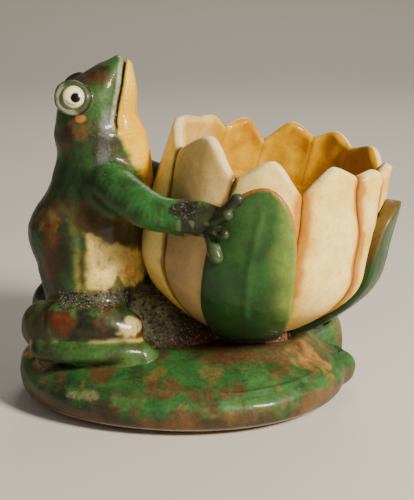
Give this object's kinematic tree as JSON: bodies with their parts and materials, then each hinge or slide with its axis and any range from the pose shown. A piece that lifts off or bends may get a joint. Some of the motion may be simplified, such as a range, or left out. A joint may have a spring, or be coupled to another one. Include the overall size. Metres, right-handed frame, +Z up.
{
  "type": "frog and water-lily planter",
  "caption": "Glazed pottery planter: a frog stands on a lily pad and hugs an open water-lily bowl with pointed petals.",
  "frame": {"origin": "centre of the bounding box's footprint, on the plane that the foot ring rests on", "axes": "+Z up, +X from the frog towards the flower bowl along the longest side, +Y towards the frog's left hand"},
  "size_m": [0.1266, 0.093, 0.1112],
  "materials": {
    "pad_glaze": "glossy mottled green glaze with rust and ochre patches and a dark brown edge",
    "yellow_glaze": "glossy mustard yellow glaze with fine crazing",
    "cream_glaze": "glossy cream glaze with fine crazing and orange-brown edges",
    "sepal_glaze": "glossy leaf green glaze that thins to ochre at the edges",
    "frog_glaze": "glossy green glaze with rust-red and near-black patches",
    "throat_glaze": "glossy pale yellow glaze with fine crazing",
    "eye_glaze": "glossy off-white glaze with a black painted pupil",
    "dark_skin_glaze": "glossy dark green glaze, nearly black round the wrist"
  },
  "bodies": {
    "root": {"lily_pad": "pad_glaze", "bowl_foot": "pad_glaze", "bowl_lining": "yellow_glaze", "petal_01": "cream_glaze", "petal_02": "cream_glaze", "petal_03": "cream_glaze", "petal_04": "cream_glaze", "petal_05": "cream_glaze", "petal_06": "cream_glaze", "petal_07": "cream_glaze", "petal_08": "cream_glaze", "petal_09": "cream_glaze", "petal_10": "cream_glaze", "petal_11": "cream_glaze", "sepal_front": "sepal_glaze", "sepal_right": "sepal_glaze", "sepal_back": "sepal_glaze", "frog_body": "frog_glaze", "frog_head": "frog_glaze", "frog_lower_jaw": "throat_glaze", "right_eyeball": "eye_glaze", "left_eyeball": "eye_glaze", "right_eyelid": "frog_glaze", "left_eyelid": "frog_glaze", "right_arm": "frog_glaze", "left_arm": "frog_glaze", "right_hand": "dark_skin_glaze", "left_hand": "dark_skin_glaze", "right_thigh": "frog_glaze", "left_thigh": "frog_glaze", "right_foot": "frog_glaze", "left_foot": "frog_glaze"}
  },
  "joints": []
}
